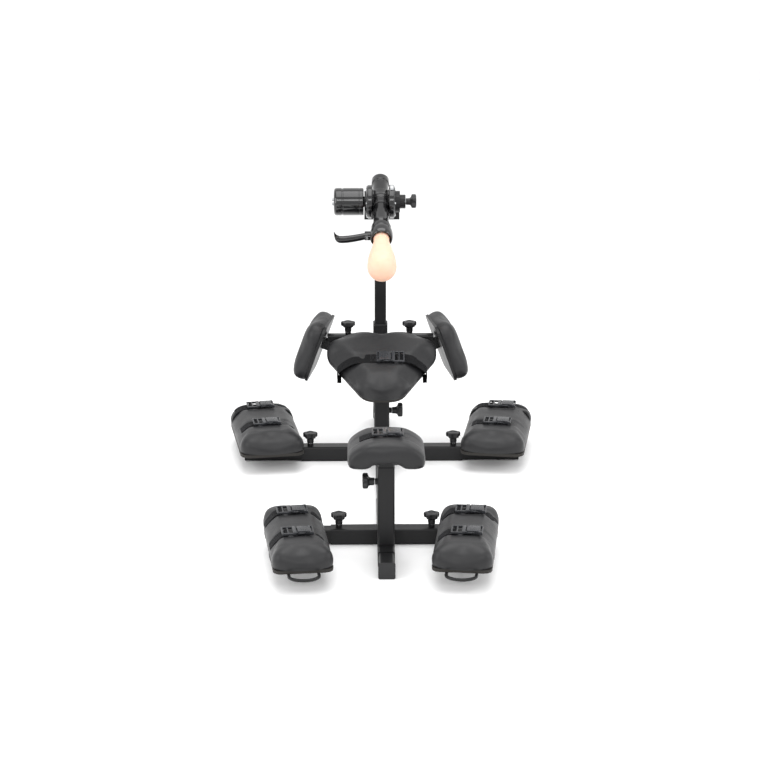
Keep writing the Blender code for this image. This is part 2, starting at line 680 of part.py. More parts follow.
# ---- mast --------------------------------------------------------------------------
def mast():
    """Inner mast tube with the fork that the stroke head tilts in."""
    add_body("mast", "base", (0, MAST_Y, MAST_SLEEVE_TOP))
    tube = moved(square_tube(MAST, 0.100, MAST_TOP), (0, MAST_Y, 0))
    clear = 0.0005
    bridge_y = HEAD_Y + FLANGE_R + 0.003
    right = FLANGE_X + clear
    bridge = box((-right - FORK_LEFT, bridge_y, 0.7446),
                 (right + FORK_RIGHT, MAST_Y - MAST / 2 + WALL / 2, 0.7840))
    arms = []
    for low, high in ((-right - FORK_LEFT, -right), (right, right + FORK_RIGHT)):
        disc = along_x(turned([(FORK_R, low), (FORK_R, high)]), (0, HEAD_Y, HEAD_Z))
        web = box((low, HEAD_Y, HEAD_Z - FORK_R), (high, MAST_Y - MAST / 2, HEAD_Z - FORK_R + 0.042))
        arms.append(union(disc, web))
    boss = along_x(turned([(0.0235, right + 0.014), (0.0235, FORK_BOSS_END)]), (0, HEAD_Y, HEAD_Z))
    spigot = along_x(turned([(0.0185, -0.07), (0.0185, -0.04)]), (0, HEAD_Y, HEAD_Z))
    bore = along_x(turned([(STUD_R + 0.0004, 0.04), (STUD_R + 0.0004, 0.09)], 16), (0, HEAD_Y, HEAD_Z))
    fork = cut(union(bridge, arms[0], arms[1], boss), spigot, bore)
    piece("mast", union(tube, fork), "mast", "powder_coat")
    knob("mast_knob", "base", (0, MAST_Y + HALF, MAST_KNOB_Z), TO_REAR, WALL, 0.0030)
    add_body("head_knob", "mast", (KNOB_SEAT_X, HEAD_Y, HEAD_Z))
    seat = (KNOB_SEAT_X, HEAD_Y, HEAD_Z)
    piece("head_knob", star_knob(0.045), "head_knob", "knob_plastic", seat, TO_RIGHT)


# ---- stroke head -------------------------------------------------------------------


def forward(distance):
    """World place of a point on the barrel's axis."""
    along = Euler(HEAD_TURN).to_matrix() @ Vector((0, -distance, 0))
    return Vector(HEAD) + along


def head_piece(name, bm, body, material):
    piece(name, bm, body, material, HEAD, HEAD_TURN)


def head():
    """Drive housing, motor and barrel, tilting together in the fork."""
    add_body("head", "mast", HEAD)
    left = -FLANGE_X
    shell = [(FLANGE_R, left), (FLANGE_R, -BODY_HALF)]
    shell += [(HOUSING_R, -BODY_HALF + 0.001), (HOUSING_R, BODY_HALF)]
    housing = along_x(turned(shell))
    cavity = along_x(turned([(CAVITY_R, left + HOUSING_WALL), (CAVITY_R, BODY_HALF + 0.01)]))
    shaft = along_x(turned([(0.0055, left - 0.01), (0.0055, left + 0.01)], 16))
    through = along_y(turned([(BARREL_R + GAP, -HOUSING_R - 0.02), (BARREL_R + GAP, HOUSING_R + 0.02)]))
    head_piece("drive_housing", cut(housing, cavity, shaft, through), "head", "gloss_black")

    cover = along_x(turned([(FLANGE_R, BODY_HALF + GAP), (FLANGE_R, FLANGE_X)]))
    clear = STUD_R + 0.0004
    stud_hole = along_x(turned([(clear, FLANGE_X - 0.012), (clear, FLANGE_X + 0.01)], 16))
    head_piece("housing_cover", cut(cover, stud_hole), "head", "gloss_black")

    can = [(0.018, left - GAP - 0.0001), (0.018, -MOTOR_START), (MOTOR_R, -MOTOR_START - 0.0001)]
    can += [(MOTOR_R, -MOTOR_START - 0.070), (MOTOR_R - 0.002, -MOTOR_START - 0.0705)]
    can += [(MOTOR_R - 0.002, -MOTOR_START - 0.0745), (MOTOR_R, -MOTOR_START - 0.075)]
    can += [(MOTOR_R, -MOTOR_END + 0.003), (MOTOR_R - 0.003, -MOTOR_END)]
    bore = along_x(turned([(0.0055, -MOTOR_START - 0.020), (0.0055, left + 0.01)], 16))
    head_piece("motor", cut(along_x(turned(can)), bore), "head", "gloss_black")

    tube = [(BARREL_R, BARREL_REAR + 0.024), (BARREL_R, BARREL_FRONT - 0.035)]
    tube += [(FLARE_R, BARREL_FRONT - 0.022), (FLARE_R, BARREL_FRONT), (ROD_R + 0.0006, BARREL_FRONT)]
    tube += [(ROD_R + 0.0006, BUSH_START), (BARREL_BORE, BUSH_START), (BARREL_BORE, BARREL_REAR + 0.006)]
    tube += [(0.004, BARREL_REAR + 0.006), (0.004, BARREL_REAR), (BARREL_R + 0.002, BARREL_REAR)]
    tube += [(BARREL_R + 0.003, BARREL_REAR + 0.003), (BARREL_R + 0.003, BARREL_REAR + 0.024)]
    barrel = along_y(turned_ring(tube))
    window = box((-0.04, -0.044, -0.04), (0.002, 0.044, 0.04))
    head_piece("barrel", cut(barrel, window), "head", "gloss_black")


def drive_train():
    """Crank, connecting rod and thrust rod inside the housing."""
    add_body("crank", "head", HEAD)
    disc_x = -0.0425
    web = along_x(turned([(0.0050, -0.075), (0.0050, disc_x - 0.0001), (0.032, disc_x), (0.032, -0.0345)]))
    pin = along_x(turned([(0.005, -0.037), (0.005, -0.0125)], 16), (0, 0, CRANK_RADIUS))
    head_piece("crank", union(web, pin), "crank", "bare_steel")

    wrist_place = forward(WRIST)
    add_body("thrust_rod", "head", wrist_place)
    rod = along_y(turned([(ROD_R, WRIST - 0.009), (ROD_R, FLANGE_START), (0.020, FLANGE_START + 0.0001),
                          (0.020, FLANGE_END)], 16))
    flat = box((-0.02, -WRIST - 0.012, -0.02), (-0.0035, -WRIST + 0.02, 0.02))
    wrist = along_x(turned([(0.003, -0.0118), (0.003, 0.002)], 12), (0, -WRIST, 0))
    head_piece("thrust_rod", union(cut(rod, flat), wrist), "thrust_rod", "bare_steel")

    add_body("connecting_rod", "thrust_rod", wrist_place)
    lean = math.atan2(CRANK_RADIUS, WRIST)
    bar = box((-0.0115, -CONROD_LENGTH, -0.003), (-0.0045, 0, 0.003))
    eye = turned([(0.0075, -0.0120), (0.0075, -0.0040)])
    ends = [along_x(eye.copy(), (0, y, 0)) for y in (0, -CONROD_LENGTH)]
    hole = along_x(turned([(0.0034, -0.02), (0.0034, 0.01)], 12), (0, -CONROD_LENGTH, 0))
    bar = cut(union(bar, ends[0], ends[1]), hole)
    bar = moved(moved(bar, (0, CONROD_LENGTH, 0)), (0, -WRIST, 0), (lean, 0, 0))
    head_piece("connecting_rod", bar, "connecting_rod", "bare_steel")


def clamp():
    """Collar on the barrel's front, and the lever that closes it."""
    wall_end = COLLAR_START + 0.005
    ring = [(COLLAR_R - 0.003, COLLAR_START), (COLLAR_R, COLLAR_START + 0.003)]
    ring += [(COLLAR_R, COLLAR_END - 0.003), (COLLAR_R - 0.003, COLLAR_END)]
    ring += [(0.030, COLLAR_END), (0.030, wall_end)]
    ring += [(ROD_R + 0.001, wall_end), (ROD_R + 0.001, COLLAR_START)]
    collar = along_y(turned_ring(ring))
    for low, high in ((-0.0150, -0.0105), (0.0105, 0.0150)):
        ear = box((LEVER_X - 0.008, LEVER_Y + low, -0.008), (-0.033, LEVER_Y + high, 0.008))
        collar = union(collar, ear)
    eye = along_y(turned([(0.0034, -LEVER_Y - 0.03), (0.0034, -LEVER_Y + 0.03)], 12), (LEVER_X, 0, 0))
    head_piece("clamp_collar", cut(collar, eye), "head", "gloss_black")

    place = Vector(HEAD) + Euler(HEAD_TURN).to_matrix() @ Vector((LEVER_X, LEVER_Y, 0))
    add_body("clamp_lever", "head", place)
    hub = [(0.0030, -0.0150), (0.0030, -0.0101), (0.0075, -0.0100), (0.0075, 0.0100), (0.0030, 0.0101)]
    hub += [(0.0030, 0.0150)]
    hub = along_y(turned(hub, 20), (LEVER_X, LEVER_Y, 0))
    stations = [(0.002, 0.000, 0.0050), (-0.020, -0.004, 0.0060), (-0.050, -0.008, 0.0065)]
    stations += [(-0.080, -0.007, 0.0070), (-0.098, 0.000, 0.0070), (-0.110, 0.012, 0.0055)]
    rings = []
    for x, z, half in stations:
        outline = rectangle(0.016, 2 * half, 0.004)
        rings.append([(LEVER_X + x, LEVER_Y + a, z + b) for a, b in outline])
    head_piece("clamp_lever", union(hub, loft(rings)), "clamp_lever", "gloss_black")


def attachment():
    """Plain rounded silicone piece on the thrust rod."""
    start = FLANGE_END + GAP
    length = ATTACH_TIP - start
    profile = [(0.026, start), (0.028, start + 0.2 * length), (0.036, start + 0.45 * length)]
    centre = ATTACH_TIP - ATTACH_R
    for step in range(5):
        angle = math.pi / 2 * step / 5
        profile.append((ATTACH_R * math.cos(angle), centre + ATTACH_R * math.sin(angle)))
    profile.append((0.006, ATTACH_TIP))
    head_piece("attachment", along_y(turned(profile, 20)), "thrust_rod", "silicone")


def build():
    for existing in list(bpy.data.objects):
        bpy.data.objects.remove(existing)
    base()
    carriage()
    chest_rest()
    hip_rest()
    for side in ("left", "right"):
        wing(side)
    limbs()
    knob("hip_knob", "base", (HALF, REAR_ARM_Y, HIP_KNOB_Z), TO_RIGHT)
    mast()
    head()
    drive_train()
    clamp()
    attachment()


build()
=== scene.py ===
import bmesh
import bpy
import json
import math
from mathutils import Matrix, Vector, noise


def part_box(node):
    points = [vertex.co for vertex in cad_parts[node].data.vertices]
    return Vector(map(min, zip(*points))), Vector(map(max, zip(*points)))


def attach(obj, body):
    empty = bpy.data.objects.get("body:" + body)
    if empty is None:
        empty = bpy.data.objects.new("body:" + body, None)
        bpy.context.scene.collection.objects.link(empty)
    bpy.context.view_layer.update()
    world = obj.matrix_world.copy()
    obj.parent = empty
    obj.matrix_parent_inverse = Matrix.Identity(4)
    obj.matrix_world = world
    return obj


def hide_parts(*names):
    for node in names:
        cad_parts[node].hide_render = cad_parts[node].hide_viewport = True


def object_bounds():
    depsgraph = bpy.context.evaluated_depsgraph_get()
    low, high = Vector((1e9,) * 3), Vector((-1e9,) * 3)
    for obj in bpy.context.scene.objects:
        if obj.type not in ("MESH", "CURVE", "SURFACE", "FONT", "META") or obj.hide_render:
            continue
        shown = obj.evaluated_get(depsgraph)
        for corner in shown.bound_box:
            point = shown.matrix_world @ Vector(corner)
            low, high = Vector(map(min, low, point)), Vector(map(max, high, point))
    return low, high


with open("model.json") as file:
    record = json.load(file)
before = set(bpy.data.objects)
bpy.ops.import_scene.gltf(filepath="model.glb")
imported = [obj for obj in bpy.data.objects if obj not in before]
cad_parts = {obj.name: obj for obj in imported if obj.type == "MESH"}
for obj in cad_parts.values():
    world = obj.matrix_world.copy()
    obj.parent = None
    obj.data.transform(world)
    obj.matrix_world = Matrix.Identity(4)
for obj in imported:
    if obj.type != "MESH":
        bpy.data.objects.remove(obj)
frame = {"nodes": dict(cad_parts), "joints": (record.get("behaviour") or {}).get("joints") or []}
CAD_LOW, CAD_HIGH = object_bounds()
JOINTS = {joint["name"]: joint for joint in frame["joints"]}

PAD_YAW_FRONT = math.radians(6.5)
PAD_YAW_REAR = math.radians(8.6)
HIP_TILT = math.radians(19)
WING_TILT = math.radians(20)
HEAD_PITCH = math.radians(25)
FRONT_PAD = (0.189, 0.437)        # width and length
REAR_PAD = (0.226, 0.435)
FRONT_PAD_Y = -0.5904             # middle of the front cushions
REAR_PAD_Y = 0.4346
FRONT_STRAPS = (-0.073, 0.105)    # along a cushion, from its middle
REAR_STRAPS = (-0.067, 0.122)
BOARD_TOP = 0.0103                # above a limb rest's pivot
STRAP_FOOT = -0.0118              # where the limb straps go under their board
HIP_MIDDLE = (0, 0.3561, 0.316)
HIP_STRAP_Y = -0.021
SIDE_PAD_X = {"left": -0.212, "right": 0.207}
SIDE_PAD_Y = 0.5381
SIDE_PAD_Z = 0.350
STRAP = 0.048                     # webbing width
STRAP_THICK = 0.0022
BAND_LIFT = 0.0006
BAND_TOP = ((-1.0, 0.35), (-0.94, 0.85), (-0.5, 1.0), (0.0, 1.0), (0.5, 1.0), (0.94, 0.85), (1.0, 0.35))
BAND_UNDERSIDE = (1.0, 0.94, 0.0, -0.94, -1.0)
VOXEL = 0.0055
SIM_FRAMES = 20
EDGE_SOFTNESS = 0.0006            # rounding of the CAD nodes' edges
LEVER_AT = (-0.0475, -0.1876, 0)  # lever pivot, in the head's frame
BLANK_ENDS = (0.1963, 0.4020)     # along the barrel, from the head's pivot
BLANK_NECK = 0.0258
BLANK_RADIUS = 0.0480
KNOB_LOBES = 5
CAMERA_AT = (-0.095, -6.543, 2.364)
CAMERA_TURN = (math.radians(73.25), 0, -math.radians(0.735))
CAMERA_LENS = 102.9
WORLD_LIGHT = 1.08
LIGHTS = (                        # name, place, aim, width, height, watts
    ("overhead", (0.0, 0.1, 3.2), (0, 0, 0.3), 2.6, 2.6, 60),
    ("left", (-2.6, -1.6, 1.7), (0, 0, 0.4), 1.2, 2.2, 34),
    ("right", (2.8, -1.0, 1.6), (0, 0, 0.4), 0.9, 2.2, 26),
    ("front", (0.2, -4.0, 3.0), (0, 0, 0.3), 2.2, 1.0, 38),
)


# ---------------------------------------------------------------- materials

def new_material(name, base, rough, metallic=0.0, coat=0.0, coat_rough=0.1, shine=0.30):
    """A principled material and the pieces needed to add to its node tree."""
    mat = bpy.data.materials.new(name)
    mat.use_nodes = True
    tree = mat.node_tree
    shader = tree.nodes["Principled BSDF"]
    shader.inputs["Base Color"].default_value = (*base, 1)
    shader.inputs["Roughness"].default_value = rough
    shader.inputs["Metallic"].default_value = metallic
    shader.inputs["Coat Weight"].default_value = coat
    shader.inputs["Coat Roughness"].default_value = coat_rough
    shader.inputs["Specular IOR Level"].default_value = shine
    return mat, tree, shader


def object_coords(tree):
    return tree.nodes.new("ShaderNodeTexCoord").outputs["Object"]


def noise_node(tree, source, scale, detail=4.0, rough=0.55):
    node = tree.nodes.new("ShaderNodeTexNoise")
    node.inputs["Scale"].default_value = scale
    node.inputs["Detail"].default_value = detail
    node.inputs["Roughness"].default_value = rough
    tree.links.new(source, node.inputs["Vector"])
    return node.outputs["Fac"]


def ramp_value(tree, source, low, high, start=0.3, end=0.7):
    node = tree.nodes.new("ShaderNodeMapRange")
    node.inputs["From Min"].default_value = start
    node.inputs["From Max"].default_value = end
    node.inputs["To Min"].default_value = low
    node.inputs["To Max"].default_value = high
    tree.links.new(source, node.inputs["Value"])
    return node.outputs["Result"]


def tint(tree, shader, factor, first, second):
    """Base colour that goes from one to another with a factor."""
    node = tree.nodes.new("ShaderNodeMix")
    node.data_type = "RGBA"
    node.inputs["A"].default_value = (*first, 1)
    node.inputs["B"].default_value = (*second, 1)
    tree.links.new(factor, node.inputs["Factor"])
    tree.links.new(node.outputs["Result"], shader.inputs["Base Color"])


def bump(tree, shader, height, distance, strength=1.0, below=None):
    node = tree.nodes.new("ShaderNodeBump")
    node.inputs["Distance"].default_value = distance
    node.inputs["Strength"].default_value = strength
    tree.links.new(height, node.inputs["Height"])
    if below is not None:
        tree.links.new(below, node.inputs["Normal"])
    tree.links.new(node.outputs["Normal"], shader.inputs["Normal"])
    return node.outputs["Normal"]


def leather():
    """Fine-grained black upholstery leather: small cells, broad handling marks."""
    mat, tree, shader = new_material("leather", (0.016, 0.016, 0.017), 0.44, coat=0.04,
                                     coat_rough=0.35)
    at = object_coords(tree)
    cells = tree.nodes.new("ShaderNodeTexVoronoi")
    cells.feature = "SMOOTH_F1"
    cells.inputs["Scale"].default_value = 620
    cells.inputs["Smoothness"].default_value = 0.4
    tree.links.new(at, cells.inputs["Vector"])
    broad = noise_node(tree, at, 16, 5)
    tint(tree, shader, broad, (0.010, 0.010, 0.011), (0.018, 0.018, 0.019))
    tree.links.new(ramp_value(tree, broad, 0.36, 0.50), shader.inputs["Roughness"])
    grain = bump(tree, shader, cells.outputs["Distance"], 0.00022, 0.75)
    bump(tree, shader, noise_node(tree, at, 60, 3), 0.0006, 0.35, grain)
    return mat


def webbing():
    """Woven tape. UV runs in metres: U along the tape, V across it."""
    mat, tree, shader = new_material("webbing", (0.012, 0.012, 0.013), 0.75, shine=0.08)
    shader.inputs["Sheen Weight"].default_value = 0.08
    shader.inputs["Sheen Roughness"].default_value = 0.4
    shader.inputs["Sheen Tint"].default_value = (0.45, 0.46, 0.5, 1)
    coords = tree.nodes.new("ShaderNodeTexCoord").outputs["UV"]
    split = tree.nodes.new("ShaderNodeSeparateXYZ")
    tree.links.new(coords, split.inputs["Vector"])
    heights = []
    for axis, pitch in (("X", 0.0024), ("Y", 0.0016)):
        wave = tree.nodes.new("ShaderNodeMath")
        wave.operation = "MULTIPLY"
        wave.inputs[1].default_value = 2 * math.pi / pitch
        tree.links.new(split.outputs[axis], wave.inputs[0])
        sine = tree.nodes.new("ShaderNodeMath")
        sine.operation = "SINE"
        tree.links.new(wave.outputs[0], sine.inputs[0])
        heights.append(sine.outputs[0])
    weave = tree.nodes.new("ShaderNodeMath")
    weave.operation = "MULTIPLY"
    tree.links.new(heights[0], weave.inputs[0])
    tree.links.new(heights[1], weave.inputs[1])
    shade = ramp_value(tree, weave.outputs[0], 0.0, 1.0, -1, 1)
    # The weave height also sets the colour: the low threads are tinted darker, which is painted shade in
    # the valleys of the weave.
    tint(tree, shader, shade, (0.0020, 0.0020, 0.0022), (0.0075, 0.0075, 0.008))
    bump(tree, shader, shade, 0.0005, 0.8)
    return mat


def powder_coat(name, base, rough):
    """Satin powder coat with a faint orange peel."""
    mat, tree, shader = new_material(name, base, rough, coat=0.10, coat_rough=0.30, shine=0.20)
    at = object_coords(tree)
    orange = noise_node(tree, at, 420, 2)
    broad = noise_node(tree, at, 9, 4)
    tree.links.new(ramp_value(tree, broad, rough - 0.05, rough + 0.07), shader.inputs["Roughness"])
    light = tuple(v * 1.5 for v in base)
    tint(tree, shader, broad, base, light)
    bump(tree, shader, orange, 0.00010, 0.5)
    return mat


def gloss():
    """Glossy black enamel over turned steel."""
    mat, tree, shader = new_material("gloss_black", (0.004, 0.004, 0.0045), 0.16, coat=0.75,
                                     coat_rough=0.04, shine=0.25)
    at = object_coords(tree)
    tree.links.new(ramp_value(tree, noise_node(tree, at, 30, 4), 0.12, 0.20), shader.inputs["Roughness"])
    bump(tree, shader, noise_node(tree, at, 260, 2), 0.00002, 0.3)
    return mat


def moulded(name, base, rough, grain):
    """Moulded plastic with a fine grain."""
    mat, tree, shader = new_material(name, base, rough)
    at = object_coords(tree)
    fine = noise_node(tree, at, grain, 3)
    tree.links.new(ramp_value(tree, fine, rough - 0.04, rough + 0.08), shader.inputs["Roughness"])
    light = tuple(v * 1.35 for v in base)
    tint(tree, shader, noise_node(tree, at, 25, 3), base, light)
    bump(tree, shader, fine, 0.00012, 0.5)
    return mat


def board_stain():
    """Black-stained plywood: long fibres across the board's length."""
    mat, tree, shader = new_material("board", (0.014, 0.013, 0.012), 0.6)
    at = object_coords(tree)
    stretch = tree.nodes.new("ShaderNodeMapping")
    stretch.inputs["Scale"].default_value = (30, 4, 260)
    tree.links.new(at, stretch.inputs["Vector"])
    fibre = noise_node(tree, stretch.outputs["Vector"], 4, 6)
    tint(tree, shader, fibre, (0.008, 0.007, 0.006), (0.028, 0.025, 0.022))
    bump(tree, shader, fibre, 0.0003, 0.5)
    return mat


def bare_steel():
    """Turned steel with fine lines round it."""
    mat, tree, shader = new_material("bare_steel", (0.56, 0.57, 0.58), 0.28, metallic=1.0)
    at = object_coords(tree)
    stretch = tree.nodes.new("ShaderNodeMapping")
    stretch.inputs["Scale"].default_value = (1, 40, 1)
    tree.links.new(at, stretch.inputs["Vector"])
    lines = noise_node(tree, stretch.outputs["Vector"], 90, 4)
    tree.links.new(ramp_value(tree, lines, 0.20, 0.40), shader.inputs["Roughness"])
    bump(tree, shader, lines, 0.00004, 0.5)
    return mat


def silicone():
    """Soft peach silicone with light let in below the surface."""
    mat, tree, shader = new_material("silicone", (0.80, 0.50, 0.37), 0.40)
    shader.inputs["Subsurface Weight"].default_value = 0.35
    shader.inputs["Subsurface Radius"].default_value = (0.012, 0.005, 0.003)
    shader.inputs["Subsurface Scale"].default_value = 0.6
    at = object_coords(tree)
    clouds = noise_node(tree, at, 40, 4)
    tint(tree, shader, clouds, (0.74, 0.44, 0.31), (0.82, 0.53, 0.40))
    tree.links.new(ramp_value(tree, noise_node(tree, at, 120, 3), 0.36, 0.5), shader.inputs["Roughness"])
    bump(tree, shader, noise_node(tree, at, 500, 2), 0.00008, 0.4)
    return mat


MATERIALS = {
    "leather": leather(),
    "webbing": webbing(),
    "frame_steel": powder_coat("frame_steel", (0.0075, 0.0075, 0.008), 0.38),
    "knob_plastic": moulded("knob_plastic", (0.014, 0.014, 0.015), 0.36, 300),
    "cap_plastic": moulded("cap_plastic", (0.018, 0.018, 0.019), 0.48, 380),
    "gloss_black": gloss(),
    "board": board_stain(),
    "bare_steel": bare_steel(),
    "silicone": silicone(),
}
BUCKLE_PLASTIC = moulded("buckle_plastic", (0.022, 0.023, 0.026), 0.24, 260)
THREAD = moulded("thread", (0.030, 0.030, 0.032), 0.55, 900)
# Pale grey, used for the brush caps and for the block on the housing's top that is a painted highlight.
NUB = moulded("light_nub", (0.42, 0.43, 0.44), 0.4, 300)


def paint_cad():
    """Each CAD node keeps its mesh and gets the finish of its own slot."""
    for name, obj in frame["nodes"].items():
        for index, old in enumerate(obj.data.materials):
            obj.data.materials[index] = MATERIALS[old.name.split(".")[0]]
        for face in obj.data.polygons:
            face.use_smooth = True
        obj.data.set_sharp_from_angle(angle=math.radians(32))
        edge = obj.modifiers.new("soft edges", "BEVEL")
        edge.width = EDGE_SOFTNESS
        edge.segments = 2
        edge.limit_method = "ANGLE"
        edge.angle_limit = math.radians(40)
        edge.harden_normals = True


# ---------------------------------------------------------------- meshes

def add_object(name, data):
    obj = bpy.data.objects.new(name, data)
    bpy.context.scene.collection.objects.link(obj)
    return obj


def finished_mesh(name, bm, material, smooth):
    """Mesh with one material and smooth shading up to an angle."""
    mesh = bpy.data.meshes.new(name)
    bmesh.ops.recalc_face_normals(bm, faces=bm.faces)
    bm.to_mesh(mesh)
    bm.free()
    for face in mesh.polygons:
        face.use_smooth = True
    mesh.set_sharp_from_angle(angle=math.radians(smooth))
    mesh.materials.append(material)
    return mesh


def piece(name, bm, material, body, nodes=(), smooth=40):
    """A mesh piece that rides on a body."""
    obj = add_object(name, finished_mesh(name, bm, material, smooth))
    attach(obj, body)
    if nodes:
        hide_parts(*nodes)
    return obj


def loft(bm, rings):
    """Joins rings of points with the same count into a skin, closed at both ends."""
    made = [[bm.verts.new(p) for p in ring] for ring in rings]
    count = len(rings[0])
    for low, high in zip(made, made[1:]):
        for i in range(count):
            j = (i + 1) % count
            bm.faces.new((low[i], low[j], high[j], high[i]))
    bm.faces.new(list(reversed(made[0])))
    bm.faces.new(made[-1])


def fillet(profile, radius, steps=4):
    """Rounds the inner corners of an open (radius, distance) profile."""
    points = [Vector(p) for p in profile]
    result = [points[0]]
    for before, here, after in zip(points, points[1:], points[2:]):
        into = before - here
        out = after - here
        reach = min(radius, into.length * 0.45, out.length * 0.45)
        start = here + into.normalized() * reach
        end = here + out.normalized() * reach
        for k in range(steps + 1):
            t = k / steps
            result.append(start * (1 - t) ** 2 + here * 2 * t * (1 - t) + end * t ** 2)
    result.append(points[-1])
    return [tuple(p) for p in result]


def lathe(bm, profile, place, sides=96, lobes=0, depth=None):
    """Turns an open profile about local Z. With lobes, each radius waves by depth(z)."""
    rings = []
    for radius, z in profile:
        ring = []
        for k in range(sides):
            angle = 2 * math.pi * k / sides
            reach = max(radius, 0.00005)
            if lobes:
                wave = depth(z)
                reach *= 1 - wave + wave * math.cos(lobes * angle)
            ring.append(place @ Vector((reach * math.cos(angle), reach * math.sin(angle), z)))
        rings.append(ring)
    loft(bm, rings)


def pointing(origin, direction, roll=0.0):
    """Matrix whose local +Z runs along direction from origin."""
    turn = Vector((0, 0, 1)).rotation_difference(Vector(direction)).to_matrix().to_4x4()
    return Matrix.Translation(origin) @ turn @ Matrix.Rotation(roll, 4, "Z")


def soft_block(bm, low, high, place, radius=0.0015, steps=3):
    """A block with all its edges rounded."""
    size = Vector(high) - Vector(low)
    made = bmesh.ops.create_cube(bm, size=1)["verts"]
    centre = (Vector(low) + Vector(high)) / 2
    bmesh.ops.scale(bm, verts=made, vec=size)
    bmesh.ops.translate(bm, verts=made, vec=centre)
    edges = list({e for v in made for e in v.link_edges})
    reach = min(radius, min(size) * 0.45)
    cut = bmesh.ops.bevel(bm, geom=edges, offset=reach, segments=steps, profile=0.6, affect="EDGES")
    seen = {v for f in cut["faces"] for v in f.verts} | {v for v in made if v.is_valid}
    bmesh.ops.transform(bm, matrix=place, verts=list(seen))


def tube_along(bm, path, radius, sides):
    """A round bar along a path of points, with one radius or one for each point."""
    rings = []
    for i, point in enumerate(path):
        ahead = (path[min(i + 1, len(path) - 1)] - path[max(i - 1, 0)]).normalized()
        up = Vector((0, 0, 1))
        if abs(ahead.dot(up)) > 0.95:
            up = Vector((0, 1, 0))
        side = ahead.cross(up).normalized()
        up = side.cross(ahead).normalized()
        width = radius[i] if isinstance(radius, list) else radius
        turn = [2 * math.pi * k / sides for k in range(sides)]
        rings.append([point + side * width * math.cos(a) + up * width * math.sin(a) for a in turn])
    loft(bm, rings)


# ---------------------------------------------------------------- cushions

def local_place(origin, yaw, tilt=0.0):
    return Matrix.Translation(origin) @ Matrix.Rotation(yaw, 4, "Z") @ Matrix.Rotation(tilt, 4, "X")


def swell(obj, fill, cap):
    """Blows the shell up as an air-filled cover with its bottom held, and keeps the result."""
    scene = bpy.context.scene
    rest = [v.co.copy() for v in obj.data.vertices]
    low = min(v.z for v in rest)
    held = obj.vertex_groups.new(name="held")
    held.add([i for i, v in enumerate(rest) if v.z < low + 0.004], 1.0, "REPLACE")
    cloth = obj.modifiers.new("swell", "CLOTH")
    cloth.settings.quality = 6
    cloth.settings.mass = 0.35
    cloth.settings.tension_stiffness = 18
    cloth.settings.compression_stiffness = 12
    cloth.settings.shear_stiffness = 8
    cloth.settings.bending_stiffness = 0.6
    cloth.settings.use_pressure = True
    cloth.settings.uniform_pressure_force = fill
    cloth.settings.vertex_group_mass = "held"
    cloth.settings.effector_weights.gravity = 0
    cloth.collision_settings.use_collision = False
    cloth.point_cache.frame_start = 1
    cloth.point_cache.frame_end = SIM_FRAMES
    for number in range(1, SIM_FRAMES + 1):
        scene.frame_set(number)
    shaped = obj.evaluated_get(bpy.context.evaluated_depsgraph_get()).to_mesh()
    after = [v.co.copy() for v in shaped.vertices]
    obj.modifiers.remove(cloth)
    scene.frame_set(1)
    for vertex, start, end in zip(obj.data.vertices, rest, after):
        move = end - start
        if move.length > cap:
            move = move.normalized() * cap
        vertex.co = start + move
    obj.vertex_groups.clear()


def remeshed(source, shrink, place):
    """A closed even mesh of a CAD cushion in its own local axes, a little smaller."""
    mesh = source.data.copy()
    mesh.transform(place.inverted())
    low = [min(v.co[k] for v in mesh.vertices) for k in range(3)]
    high = [max(v.co[k] for v in mesh.vertices) for k in range(3)]
    centre = Vector(((low[0] + high[0]) / 2, (low[1] + high[1]) / 2, low[2]))
    spans = Vector(high) - Vector(low)
    factors = [1 - 2 * shrink / span for span in spans]
    factors[2] = 1 - shrink / spans[2]
    for v in mesh.vertices:
        v.co = Vector([centre[k] + (v.co[k] - centre[k]) * factors[k] for k in range(3)])
    obj = add_object("shape", mesh)
    grid = obj.modifiers.new("grid", "REMESH")
    grid.mode = "VOXEL"
    grid.voxel_size = VOXEL
    ready = bpy.data.meshes.new_from_object(obj.evaluated_get(bpy.context.evaluated_depsgraph_get()))
    obj.modifiers.clear()
    obj.data = ready
    obj.data.materials.clear()
    return obj


def relax(mesh, rounds):
    """Smooths the shell without thinning it, as stretched leather does at an edge."""
    bm = bmesh.new()
    bm.from_mesh(mesh)
    for _ in range(rounds):
        bmesh.ops.smooth_vert(bm, verts=bm.verts, factor=0.5,
                              use_axis_x=True, use_axis_y=True, use_axis_z=True)
    bm.to_mesh(mesh)
    bm.free()


def pressed(point, straps, depth):
    """How far a strap laid over the top pushes the leather down."""
    push = 0.0
    for middle in straps:
        away = abs(point.y - middle)
        if away < STRAP / 2 + 0.016:
            edge = max(0.0, min(1.0, (away - STRAP / 2 + 0.004) / 0.020))
            push = max(push, depth * (1 - edge ** 2 * (3 - 2 * edge)))
    return push


